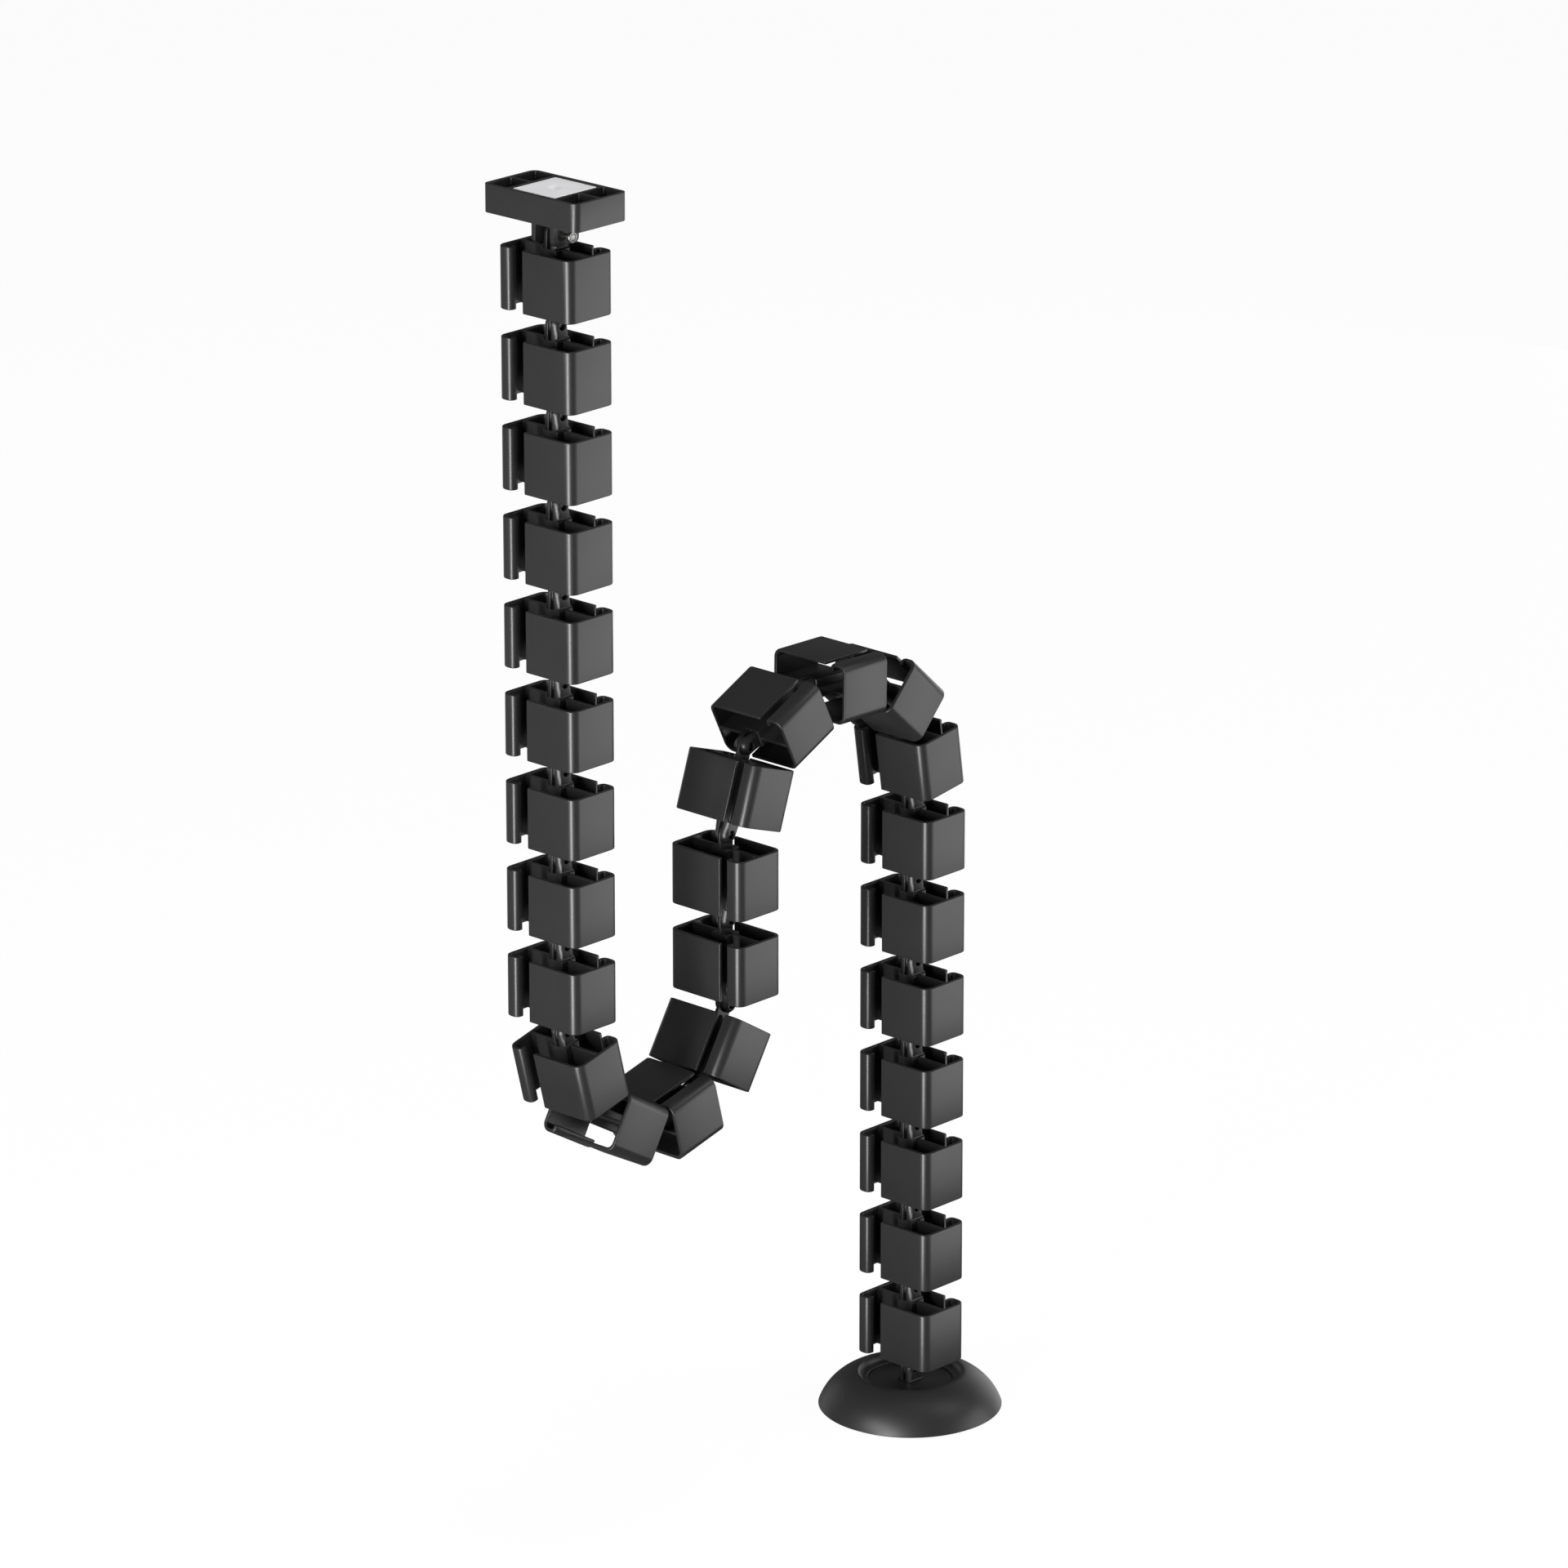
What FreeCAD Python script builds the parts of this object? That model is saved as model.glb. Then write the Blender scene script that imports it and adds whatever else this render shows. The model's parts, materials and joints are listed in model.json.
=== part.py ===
"""Cable spine: a chain of moulded links between a desk mount and a weighted floor base.

The frame has its origin at the centre of the mount's desk face, Z up. Every hinge axis lies along X,
Y is the depth of a link. The chain hangs from the mount, turns up once and comes down on the base.
"""
import FreeCAD, Part
import math
import os

import Sketcher

os.makedirs("parts", exist_ok=True)
doc = FreeCAD.newDocument("cable_spine")

# Driving dimensions, in millimetres and degrees: name, value, meaning
DRIVING = [
    ("pitch", 46.0, "from one hinge axis of a link to the other"),
    ("link_width", 50.0, "outer width along the hinge axis"),
    ("link_depth", 32.0, "outer depth across the hinge axis"),
    ("link_wall", 2.0, "thickness of the outer wall"),
    ("link_corner", 5.0, "outer radius of the four upright corners"),
    ("front_lip", 9.3, "from the left side to the end of the front lip"),
    ("front_slot", 8.4, "opening in the front wall"),
    ("back_lip", 10.5, "from the right side to the end of the back lip"),
    ("back_slot", 3.5, "opening in the back wall"),
    ("curl_radius", 3.0, "outer radius where a lip curls inward"),
    ("curl_return", 1.6, "straight end of a lip behind its curl"),
    ("divider_wall", 1.8, "wall between the front and back channels"),
    ("ear_gap", 2.2, "slot between the two ears"),
    ("ear_wall", 3.2, "thickness of one ear"),
    ("ear_radius", 4.8, "rounded end of ears and tongue"),
    ("ear_tip_gap", 2.2, "ear or tongue tip to the walls of the link that it meets"),
    ("ear_flare", 1.0, "gusset where an ear widens into the hub"),
    ("eye_radius", 2.3, "hole through the ears"),
    ("tongue_side_gap", 0.2, "tongue to ear, each side"),
    ("pivot_clearance", 0.08, "radial running clearance of a boss in its eye"),
    ("boss_recess", 1.2, "boss end below the ear's outer face"),
    ("mount_width", 64.0, "desk mount along the hinge axis"),
    ("mount_depth", 37.0, "desk mount across the hinge axis"),
    ("mount_height", 14.2, "height of the desk mount's block"),
    ("mount_corner", 4.2, "outer radius of its upright corners"),
    ("mount_wall", 2.2, "thickness of its outer wall"),
    ("mount_floor", 2.4, "floor under its pockets"),
    ("mount_rib", 1.6, "ribs between pockets and beside the magnet"),
    ("pocket_corner", 1.2, "inner radius of a pocket's upright corners"),
    ("magnet_width", 28.8, "magnet along the hinge axis"),
    ("magnet_height", 4.0, "thickness of the magnet"),
    ("magnet_bevel", 0.7, "bevel round the magnet's face"),
    ("magnet_fit", 0.6, "magnet to its seat, each side"),
    ("seat_wall", 2.8, "wall in front of the magnet's seat and behind it"),
    ("sink_radius", 3.8, "countersink in the magnet's face"),
    ("sink_bore", 1.7, "radius of the hole below the countersink"),
    ("sink_land", 1.9, "straight part of that hole"),
    ("lug_drop", 9.0, "from the block's underside to the first hinge axis"),
    ("lug_gap", 0.7, "ear of the first link to a mount lug, each side"),
    ("lug_wall", 2.6, "thickness of a mount lug"),
    ("lug_depth", 17.6, "mount lug across the hinge axis"),
    ("lug_below", 4.3, "from the first hinge axis to a lug's lower edge"),
    ("lug_corner", 2.5, "radius of a lug's lower corners"),
    ("pin_radius", 1.5, "shank of the mount's hinge pin"),
    ("pin_fit", 0.03, "radial clearance of the pin in lugs and bush"),
    ("pin_stand", 2.7, "shank left bare between lug and head"),
    ("head_radius", 2.9, "head of the hinge pin"),
    ("head_height", 1.9, "height of that head"),
    ("head_chamfer", 0.4, "bevel round the head's end"),
    ("clip_radius", 3.2, "outer radius of the clip on the pin's other end"),
    ("clip_wall", 0.8, "thickness of that clip"),
    ("clip_gap", 0.1, "clip to lug"),
    ("pin_tail", 0.8, "shank beyond the clip"),
    ("bush_side_gap", 0.15, "bush to mount lug, each side"),
    ("base_radius", 49.0, "dome at its foot"),
    ("dome_foot", 1.4, "height of the upright edge at the foot"),
    ("dome_curve", 29.0, "radius of the dome's profile"),
    ("crest_flat", 1.6, "flat ring along the dome's crest"),
    ("crest_turn", 1.7, "slope from the crest down into the recess, across"),
    ("crest_rise", 3.5, "ledge to crest"),
    ("well_step", 1.0, "upright wall of the recess above its ledge"),
    ("ledge_width", 3.1, "ledge round the hinge plate"),
    ("ledge_rise", 1.2, "hinge plate's face to the ledge"),
    ("hinge_plate_radius", 22.6, "round plate at the bottom of the recess"),
    ("hinge_plate_wall", 3.0, "thickness of that plate"),
    ("base_pivot_height", 22.0, "floor to the last hinge axis"),
    ("rim_wall", 2.4, "thickness of the dome at its foot"),
    ("slope_foot", 3.4, "height where the dome's inside begins to slope"),
    ("slope_width", 10.9, "that slope, across"),
    ("pad_inset", 2.5, "edge of the dome to the pad"),
    ("pad_wall", 1.0, "thickness of the pad"),
    ("weight_gap", 1.7, "steel weight to the dome's inside"),
    ("part_gap", 0.1, "between pieces that are fixed together"),
    ("screw_circle", 14.0, "radius of the circle of the base's screws"),
    ("screw_radius", 1.5, "shank of a screw in the base"),
    ("screw_head_radius", 2.8, "its head"),
    ("screw_head_height", 1.8, "height of its head"),
    ("pilot_floor", 0.7, "hinge plate left above a screw's hole"),
]
# Tilt of each link of the two bends, measured from hanging straight down
TILTS = {
    10: 14.5, 11: 60.0, 12: 104.5, 13: 148.5, 14: 180.0, 15: 180.0,
    16: 161.5, 17: 116.0, 18: 89.0, 19: 47.5, 20: 8.5,
}
LINKS = 27
BASE_SCREWS = 3


class Size:
    """A length or angle: its value, and the formula of sheet cells that it comes from."""

    def __init__(self, value, formula):
        self.value = value
        self.formula = formula

    def joined(self, sign, other, value):
        text = other.formula if isinstance(other, Size) else repr(other)
        return Size(value, f"({self.formula} {sign} {text})")

    def __add__(self, other):
        return self.joined("+", other, self.value + number(other))

    def __sub__(self, other):
        return self.joined("-", other, self.value - number(other))

    def __mul__(self, other):
        return self.joined("*", other, self.value * number(other))

    def __truediv__(self, other):
        return self.joined("/", other, self.value / number(other))

    def __radd__(self, other):
        return Size(self.value + other, f"({other!r} + {self.formula})")

    def __neg__(self):
        return self * -1

    def sine(self):
        return Size(math.sin(math.radians(self.value)), f"sin({self.formula})")

    def cosine(self):
        return Size(math.cos(math.radians(self.value)), f"cos({self.formula})")


def number(size):
    return size.value if isinstance(size, Size) else size


def fill_sheet(rows):
    """Writes the driving dimensions into the document's sheet; returns them by name."""
    sheet = doc.addObject("Spreadsheet::Sheet", "Sizes")
    named = {}
    for row, (alias, value, meaning) in enumerate(rows, start=1):
        sheet.set(f"A{row}", alias)
        sheet.set(f"B{row}", str(value))
        sheet.setAlias(f"B{row}", alias)
        sheet.set(f"C{row}", meaning)
        named[alias] = Size(value, f"Sizes.{alias}")
    doc.recompute()
    return named


ROWS = DRIVING + [(f"tilt_{n}", angle, f"tilt of link {n}") for n, angle in TILTS.items()]
SIZES = fill_sheet(ROWS)


class Named:
    """The sheet's sizes as attributes, and the sizes that follow from them."""

    def __init__(self, sizes):
        self.__dict__.update(sizes)


s = Named(SIZES)
s.rim_gap = s.ear_radius + s.ear_tip_gap
s.link_height = s.pitch - s.rim_gap * 2
s.ear_outer = s.ear_gap / 2 + s.ear_wall
s.hub_width = (s.ear_outer + s.ear_flare) * 2
s.tongue_wall = s.ear_gap - s.tongue_side_gap * 2
s.boss_radius = s.eye_radius - s.pivot_clearance
s.boss_length = (s.ear_outer - s.boss_recess) * 2
s.magnet_depth = s.mount_depth - (s.seat_wall + s.magnet_fit) * 2
s.lug_inner = s.ear_outer + s.lug_gap
s.lug_outer = s.lug_inner + s.lug_wall
s.first_pivot = -(s.mount_height + s.lug_drop)
s.hinge_plate_top = s.base_pivot_height - s.rim_gap
s.hinge_plate_under = s.hinge_plate_top - s.hinge_plate_wall
s.ledge_height = s.hinge_plate_top + s.ledge_rise
s.well_radius = s.hinge_plate_radius + s.ledge_width
s.crest_inner_radius = s.well_radius + s.crest_turn
s.inner_foot = s.base_radius - s.rim_wall
s.slope_top = s.inner_foot - s.slope_width
s.pilot_depth = s.hinge_plate_wall - s.pilot_floor


def plane(body, role):
    return next(f for f in body.Origin.OriginFeatures if f.Role == role)


def bind(target, prop, size):
    """Ties a property to the sheet, or sets a plain number."""
    if isinstance(size, Size):
        target.setExpression(prop, size.formula)
    else:
        setattr(target, prop, size)


def sketch_on(body, name, role, offset=0.0):
    """A sketch on one of the body's own origin planes, moved along that plane's normal."""
    sketch = body.newObject("Sketcher::SketchObject", name)
    sketch.AttachmentSupport = [(plane(body, role), "")]
    sketch.MapMode = "FlatFace"
    if isinstance(offset, Size):
        sketch.setExpression("AttachmentOffset.Base.z", offset.formula)
    return sketch


def datum(sketch, kind, *where, size):
    """Adds one driving constraint and ties it to the sheet."""
    index = sketch.addConstraint(Sketcher.Constraint(kind, *where, number(size)))
    if isinstance(size, Size):
        sketch.setExpression(f"Constraints[{index}]", size.formula)


def hold_point(sketch, edge, end, x, y):
    """Holds a point at its distances from the sketch's origin; a plain zero puts it on the axis."""
    for kind, axis, size in (("DistanceX", -2, x), ("DistanceY", -1, y)):
        if isinstance(size, Size):
            datum(sketch, kind, -1, 1, edge, end, size=size)
        else:
            sketch.addConstraint(Sketcher.Constraint("PointOnObject", edge, end, axis))


def flat(x, y):
    return FreeCAD.Vector(number(x), number(y), 0)


def arc_between(start, end, radius):
    """The short arc from start to end, its centre to the left of travel if the radius is positive."""
    chord = end - start
    left = FreeCAD.Vector(-chord.y, chord.x, 0).normalize()
    rise = math.sqrt(max(radius**2 - (chord.Length / 2) ** 2, 0.0))
    centre = (start + end) * 0.5 + left * math.copysign(rise, radius)
    circle = Part.Circle(centre, FreeCAD.Vector(0, 0, 1), abs(radius))
    first, last = (start, end) if radius > 0 else (end, start)
    return Part.ArcOfCircle(circle, circle.parameter(first), circle.parameter(last))


def outline(sketch, corners):
    """A closed run of edges. A corner is (x, y), or (x, y, radius) where an arc leads to it."""
    ends = []
    before = corners[-1]
    for corner in corners:
        start, end = flat(*before[:2]), flat(*corner[:2])
        if len(corner) == 2:
            edge = sketch.addGeometry(Part.LineSegment(start, end))
            ends.append((edge, 1, 2))
        else:
            radius = corner[2]
            edge = sketch.addGeometry(arc_between(start, end, number(radius)))
            ends.append((edge, 1, 2) if number(radius) > 0 else (edge, 2, 1))
        before = corner
    for this, after in zip(ends, ends[1:] + ends[:1]):
        sketch.addConstraint(Sketcher.Constraint("Coincident", this[0], this[2], after[0], after[1]))
    for (edge, _, end), corner in zip(ends, corners):
        hold_point(sketch, edge, end, *corner[:2])
        if len(corner) == 3:
            radius = corner[2] if number(corner[2]) > 0 else -corner[2]
            datum(sketch, "Radius", edge, size=radius)


def circle(sketch, x, y, radius):
    edge = sketch.addGeometry(Part.Circle(flat(x, y), FreeCAD.Vector(0, 0, 1), number(radius)))
    hold_point(sketch, edge, 3, x, y)
    datum(sketch, "Radius", edge, size=radius)


def rectangle(sketch, left, right, low, high):
    outline(sketch, [(right, low), (right, high), (left, high), (left, low)])


def rounded_rectangle(sketch, half_width, half_depth, radius, x=0.0, y=0.0):
    """A rectangle with four quarter-round corners about the point x, y."""
    right, left = half_width + x, -half_width + x
    back, front = half_depth + y, -half_depth + y
    outline(sketch, [
        (right, back - radius),
        (right - radius, back, radius),
        (left + radius, back),
        (left, back - radius, radius),
        (left, front + radius),
        (left + radius, front, radius),
        (right - radius, front),
        (right, front + radius, radius),
    ])


def bevelled_rectangle(sketch, half_width, half_depth, bevel):
    """A rectangle about the origin with four straight bevels."""
    short_width, short_depth = half_width - bevel, half_depth - bevel
    outline(sketch, [
        (half_width, short_depth),
        (short_width, half_depth),
        (-short_width, half_depth),
        (-half_width, short_depth),
        (-half_width, -short_depth),
        (-short_width, -half_depth),
        (short_width, -half_depth),
        (half_width, -short_depth),
    ])


def feature(body, kind, name, sketch, length, symmetric=False, reverse=False):
    """A pad or pocket of a sketch."""
    made = body.newObject(f"PartDesign::{kind}", name)
    made.Profile = sketch
    bind(made, "Length", length)
    made.SideType = "Symmetric" if symmetric else "One side"
    made.Reversed = reverse
    sketch.Visibility = False
    return made


def mirrored(body, name, features):
    """The features again, on the other side of the centre plane."""
    copy = body.newObject("PartDesign::Mirrored", name)
    copy.Originals = features
    copy.MirrorPlane = (plane(body, "YZ_Plane"), [""])
    body.Tip = copy
    return copy


def tab_outline(sketch, root, centre, radius, up):
    """A tab from its root to a half-round end about the centre, upward or downward."""
    turn = radius if up else -radius
    tip = centre + turn
    outline(sketch, [
        (radius, centre),
        (0.0, tip, turn),
        (-radius, centre, turn),
        (-radius, root),
        (radius, root),
    ])


def ear_pair(body, root, centre):
    """Two upright ears about the slot, flaring into what carries them, with an eye through both."""
    ear = sketch_on(body, "ear_outline", "YZ_Plane", s.ear_gap / 2)
    tab_outline(ear, root - s.ear_flare, centre, s.ear_radius, up=True)
    circle(ear, 0.0, centre, s.eye_radius)
    ear_pad = feature(body, "Pad", "ear", ear, s.ear_wall)
    flare = sketch_on(body, "flare_outline", "XZ_Plane")
    outline(flare, [
        (s.hub_width / 2, root),
        (s.ear_outer, root + s.ear_flare),
        (s.ear_outer, root),
    ])
    flare_pad = feature(body, "Pad", "flare", flare, s.ear_radius * 2, symmetric=True)
    mirrored(body, "ears", [ear_pad, flare_pad])


def link_moulding():
    """One link, its origin on the upper hinge axis: walls, lips, divider, hub, ears and tongue."""
    body = doc.addObject("PartDesign::Body", "link_moulding")
    top, bottom = -s.rim_gap, s.rim_gap - s.pitch
    half_width, half_depth = s.link_width / 2, s.link_depth / 2

    walls = sketch_on(body, "walls_outline", "XY_Plane", top)
    rounded_rectangle(walls, half_width, half_depth, s.link_corner)
    inner_corner = s.link_corner - s.link_wall
    bevelled_rectangle(walls, half_width - s.link_wall, half_depth - s.link_wall, inner_corner)
    feature(body, "Pad", "walls", walls, s.link_height, reverse=True)

    front_end = -half_width + s.front_lip
    back_end = half_width - s.back_lip
    inner_face = half_depth - s.link_wall
    slots = sketch_on(body, "slots_outline", "XY_Plane", top)
    rectangle(slots, front_end - s.curl_radius, front_end + s.front_slot, -half_depth, -inner_face)
    rectangle(slots, back_end - s.back_slot, back_end + s.curl_radius, inner_face, half_depth)
    feature(body, "Pocket", "slots", slots, s.link_height)

    curls = sketch_on(body, "curls_outline", "XY_Plane", top)
    curl_outline(curls, front_end, -half_depth, toward=1)
    curl_outline(curls, back_end, half_depth, toward=-1)
    feature(body, "Pad", "curls", curls, s.link_height, reverse=True)

    divider = sketch_on(body, "divider_outline", "XY_Plane", top)
    reach = half_width - s.link_wall / 2
    rectangle(divider, -reach, reach, -s.divider_wall / 2, s.divider_wall / 2)
    feature(body, "Pad", "divider", divider, s.link_height, reverse=True)

    hub = sketch_on(body, "hub_outline", "XY_Plane", top)
    rectangle(hub, -s.hub_width / 2, s.hub_width / 2, -s.ear_radius, s.ear_radius)
    feature(body, "Pad", "hub", hub, s.link_height, reverse=True)

    ear_pair(body, top, 0.0)

    tongue = sketch_on(body, "tongue_outline", "YZ_Plane")
    tab_outline(tongue, bottom + s.ear_flare, -s.pitch, s.ear_radius, up=False)
    feature(body, "Pad", "tongue", tongue, s.tongue_wall, symmetric=True)
    bosses = sketch_on(body, "bosses_outline", "YZ_Plane")
    circle(bosses, 0.0, -s.pitch, s.boss_radius)
    feature(body, "Pad", "bosses", bosses, s.boss_length, symmetric=True)
    return body


def curl_outline(sketch, end, face, toward):
    """The end of a lip, curled from the outer face inward; toward is 1 on the front, -1 on the back."""
    turn = s.curl_radius * toward
    wall = s.link_wall * toward
    tip = face + turn + s.curl_return * toward
    outline(sketch, [
        (end, face + turn, s.curl_radius),
        (end, tip),
        (end - wall, tip),
        (end - wall, face + wall),
        (end - turn, face + wall),
        (end - turn, face),
    ])


def place(body, y, z, tilt=0.0):
    """Puts a piece's own origin at y, z and tilts it about the hinge axis."""
    body.Placement = FreeCAD.Placement(
        FreeCAD.Vector(0, number(y), number(z)),
        FreeCAD.Rotation(FreeCAD.Vector(1, 0, 0), number(tilt)),
    )
    for prop, size in (("Base.y", y), ("Base.z", z), ("Rotation.Angle", tilt)):
        if isinstance(size, Size):
            body.setExpression(f"Placement.{prop}", size.formula)


def link_chain(moulding):
    """All links, each hung on the lower hinge axis of the one before; returns them and the last axis."""
    links = []
    y, z = 0.0, s.first_pivot
    for n in range(1, LINKS + 1):
        body = doc.addObject("PartDesign::Body", f"link_{n:02d}")
        copy = body.newObject("PartDesign::FeatureBase", f"moulding_{n:02d}")
        copy.BaseFeature = moulding
        body.Tip = copy
        tilt = SIZES.get(f"tilt_{n}", 0.0)
        place(body, y, z, tilt)
        links.append(body)
        here = body.Placement.Base
        y = Size(here.y, f"({body.Name}.Placement.Base.y / 1 mm)")
        z = Size(here.z, f"({body.Name}.Placement.Base.z / 1 mm)")
        if isinstance(tilt, Size):
            y = y + s.pitch * tilt.sine()
            z = z - s.pitch * tilt.cosine()
        else:
            z = z - s.pitch
    return links, y, z


def mount_block():
    """The block under the desk: magnet seat, four open pockets and two lugs for the hinge pin."""
    body = doc.addObject("PartDesign::Body", "mount_block")
    half_width, half_depth = s.mount_width / 2, s.mount_depth / 2
    block = sketch_on(body, "block_outline", "XY_Plane")
    rounded_rectangle(block, half_width, half_depth, s.mount_corner)
    feature(body, "Pad", "block", block, s.mount_height, reverse=True)

    seat_width = s.magnet_width / 2 + s.magnet_fit
    seat_depth = half_depth - s.seat_wall
    seat = sketch_on(body, "seat_outline", "XY_Plane")
    rectangle(seat, -seat_width, seat_width, -seat_depth, seat_depth)
    feature(body, "Pocket", "seat", seat, s.magnet_height)

    pocket_width = half_width - s.mount_wall - seat_width - s.mount_rib
    pocket_depth = half_depth - s.mount_wall - s.mount_rib / 2
    middle_x = seat_width + s.mount_rib + pocket_width / 2
    middle_y = s.mount_rib / 2 + pocket_depth / 2
    pockets = sketch_on(body, "pockets_outline", "XY_Plane")
    for x in (middle_x, -middle_x):
        for y in (middle_y, -middle_y):
            rounded_rectangle(pockets, pocket_width / 2, pocket_depth / 2, s.pocket_corner, x, y)
    feature(body, "Pocket", "pockets", pockets, s.mount_height - s.mount_floor)

    lug = sketch_on(body, "lug_outline", "YZ_Plane", s.lug_inner)
    back, low = s.lug_depth / 2, s.first_pivot - s.lug_below
    root = s.mount_floor - s.mount_height
    outline(lug, [
        (back, low + s.lug_corner, s.lug_corner),
        (back, root),
        (-back, root),
        (-back, low + s.lug_corner),
        (-back + s.lug_corner, low, s.lug_corner),
        (back - s.lug_corner, low),
    ])
    circle(lug, 0.0, s.first_pivot, s.pin_radius + s.pin_fit)
    lug_pad = feature(body, "Pad", "lug", lug, s.lug_wall)
    mirrored(body, "lugs", [lug_pad])
    return body


def mount_magnet():
    """The square magnet in the block's face, bevelled all round, with a countersunk hole."""
    body = doc.addObject("PartDesign::Body", "mount_magnet")
    half_width, half_depth = s.magnet_width / 2, s.magnet_depth / 2
    plate = sketch_on(body, "plate_outline", "XY_Plane")
    rectangle(plate, -half_width, half_width, -half_depth, half_depth)
    pad = feature(body, "Pad", "plate", plate, s.magnet_height, reverse=True)
    doc.recompute()
    bevel = body.newObject("PartDesign::Chamfer", "bevel")
    bevel.Base = (pad, edges_at_height(pad, 0.0))
    bind(bevel, "Size", s.magnet_bevel)
    sink_depth = s.magnet_height - s.sink_land
    turned(body, "Groove", "countersink", "V_Axis", [
        (s.sink_bore, -s.magnet_height),
        (s.sink_bore, -sink_depth),
        (s.sink_radius, 0.0),
        (0.0, 0.0),
        (0.0, -s.magnet_height),
    ])
    return body


def edges_at_height(made, z):
    """Names of a feature's edges that lie flat at one height."""
    names = []
    for index, edge in enumerate(made.Shape.Edges, start=1):
        if all(abs(v.Z - z) < 1e-6 for v in edge.Vertexes):
            names.append(f"Edge{index}")
    return names


def turned(body, kind, name, axis, corners):
    """A profile turned about the body's upright axis or its hinge axis."""
    sketch = sketch_on(body, f"{name}_profile", "XZ_Plane")
    outline(sketch, corners)
    made = body.newObject(f"PartDesign::{kind}", name)
    made.Profile = sketch
    made.ReferenceAxis = (sketch, [axis])
    made.Angle = 360
    sketch.Visibility = False
    return made


def on_first_axis(body):
    place(body, 0.0, s.first_pivot)
    return body


def mount_pin():
    """The headed steel pin through the lugs, its head standing off the right lug."""
    body = doc.addObject("PartDesign::Body", "mount_pin")
    head_back = s.lug_outer + s.pin_stand
    head_end = head_back + s.head_height
    tail = -(s.lug_outer + s.clip_gap + s.clip_wall + s.pin_tail)
    turned(body, "Revolution", "pin", "H_Axis", [
        (tail, 0.0),
        (head_end, 0.0),
        (head_end, s.head_radius - s.head_chamfer),
        (head_end - s.head_chamfer, s.head_radius),
        (head_back, s.head_radius),
        (head_back, s.pin_radius),
        (tail, s.pin_radius),
    ])
    return on_first_axis(body)


def pin_ring(name, left, right, outer_radius):
    """A ring on the pin between two places along it."""
    body = doc.addObject("PartDesign::Body", name)
    bore = s.pin_radius + s.pin_fit
    turned(body, "Revolution", f"{name}_ring", "H_Axis", [
        (left, bore),
        (right, bore),
        (right, outer_radius),
        (left, outer_radius),
    ])
    return on_first_axis(body)


def pin_clip():
    """The push-on clip that keeps the pin in, outside the left lug."""
    right = -(s.lug_outer + s.clip_gap)
    return pin_ring("pin_clip", right - s.clip_wall, right, s.clip_radius)


def pin_bush():
    """The sleeve on the pin that fills the eyes of the first link's ears."""
    reach = s.lug_inner - s.bush_side_gap
    return pin_ring("pin_bush", -reach, reach, s.boss_radius)


def base_shell():
    """The domed cover of the base, a ring turned about the upright axis and hollow from below."""
    body = doc.addObject("PartDesign::Body", "base_shell")
    bore = s.hinge_plate_radius + s.part_gap
    crest_height = s.ledge_height + s.crest_rise
    turned(body, "Revolution", "dome", "V_Axis", [
        (s.base_radius, s.pad_wall),
        (s.base_radius, s.dome_foot),
        (s.crest_inner_radius + s.crest_flat, crest_height, s.dome_curve),
        (s.crest_inner_radius, crest_height),
        (s.well_radius, s.ledge_height + s.well_step),
        (s.well_radius, s.ledge_height),
        (bore, s.ledge_height),
        (bore, s.hinge_plate_under),
        (s.slope_top, s.hinge_plate_under),
        (s.inner_foot, s.slope_foot),
        (s.inner_foot, s.pad_wall),
    ])
    return body


def around_base(body, name, features):
    """Repeats features at the screws' places."""
    ring = body.newObject("PartDesign::PolarPattern", name)
    ring.Originals = features
    ring.Axis = (plane(body, "Z_Axis"), [""])
    ring.Angle = 360
    ring.Occurrences = BASE_SCREWS
    body.Tip = ring
    return ring


def screw_cylinder(body, kind, name, radius, low, length):
    """A round pad or pocket at one screw's place, from low upward."""
    sketch = sketch_on(body, f"{name}_outline", "XY_Plane", low)
    circle(sketch, s.screw_circle, 0.0, radius)
    return feature(body, kind, name, sketch, length, reverse=kind == "Pocket")


def base_hinge():
    """The round plate in the bottom of the recess, with the ears of the last hinge."""
    body = doc.addObject("PartDesign::Body", "base_hinge")
    disc = sketch_on(body, "disc_outline", "XY_Plane", s.hinge_plate_under)
    circle(disc, 0.0, 0.0, s.hinge_plate_radius)
    feature(body, "Pad", "disc", disc, s.hinge_plate_wall)
    ear_pair(body, s.hinge_plate_top, s.base_pivot_height)
    doc.recompute()
    pilot_radius = s.screw_radius + s.pin_fit
    pilot = screw_cylinder(body, "Pocket", "pilot", pilot_radius, s.hinge_plate_under, s.pilot_depth)
    around_base(body, "pilots", [pilot])
    return body


def base_weight():
    """The steel weight that fills the dome, with counterbored screw holes from below."""
    body = doc.addObject("PartDesign::Body", "base_weight")
    weight_radius = s.inner_foot - s.weight_gap
    turned(body, "Revolution", "slug", "V_Axis", [
        (0.0, s.pad_wall),
        (weight_radius, s.pad_wall),
        (weight_radius, s.slope_foot),
        (s.slope_top - s.weight_gap, s.hinge_plate_under),
        (0.0, s.hinge_plate_under),
    ])
    doc.recompute()
    bore_radius, bore_length = s.screw_radius + s.part_gap, s.hinge_plate_under - s.pad_wall
    bore = screw_cylinder(body, "Pocket", "bore", bore_radius, s.pad_wall, bore_length)
    seat_radius, seat_length = s.screw_head_radius + s.part_gap, s.screw_head_height + s.part_gap
    seat = screw_cylinder(body, "Pocket", "head_seat", seat_radius, s.pad_wall, seat_length)
    around_base(body, "screw_holes", [bore, seat])
    return body


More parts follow.
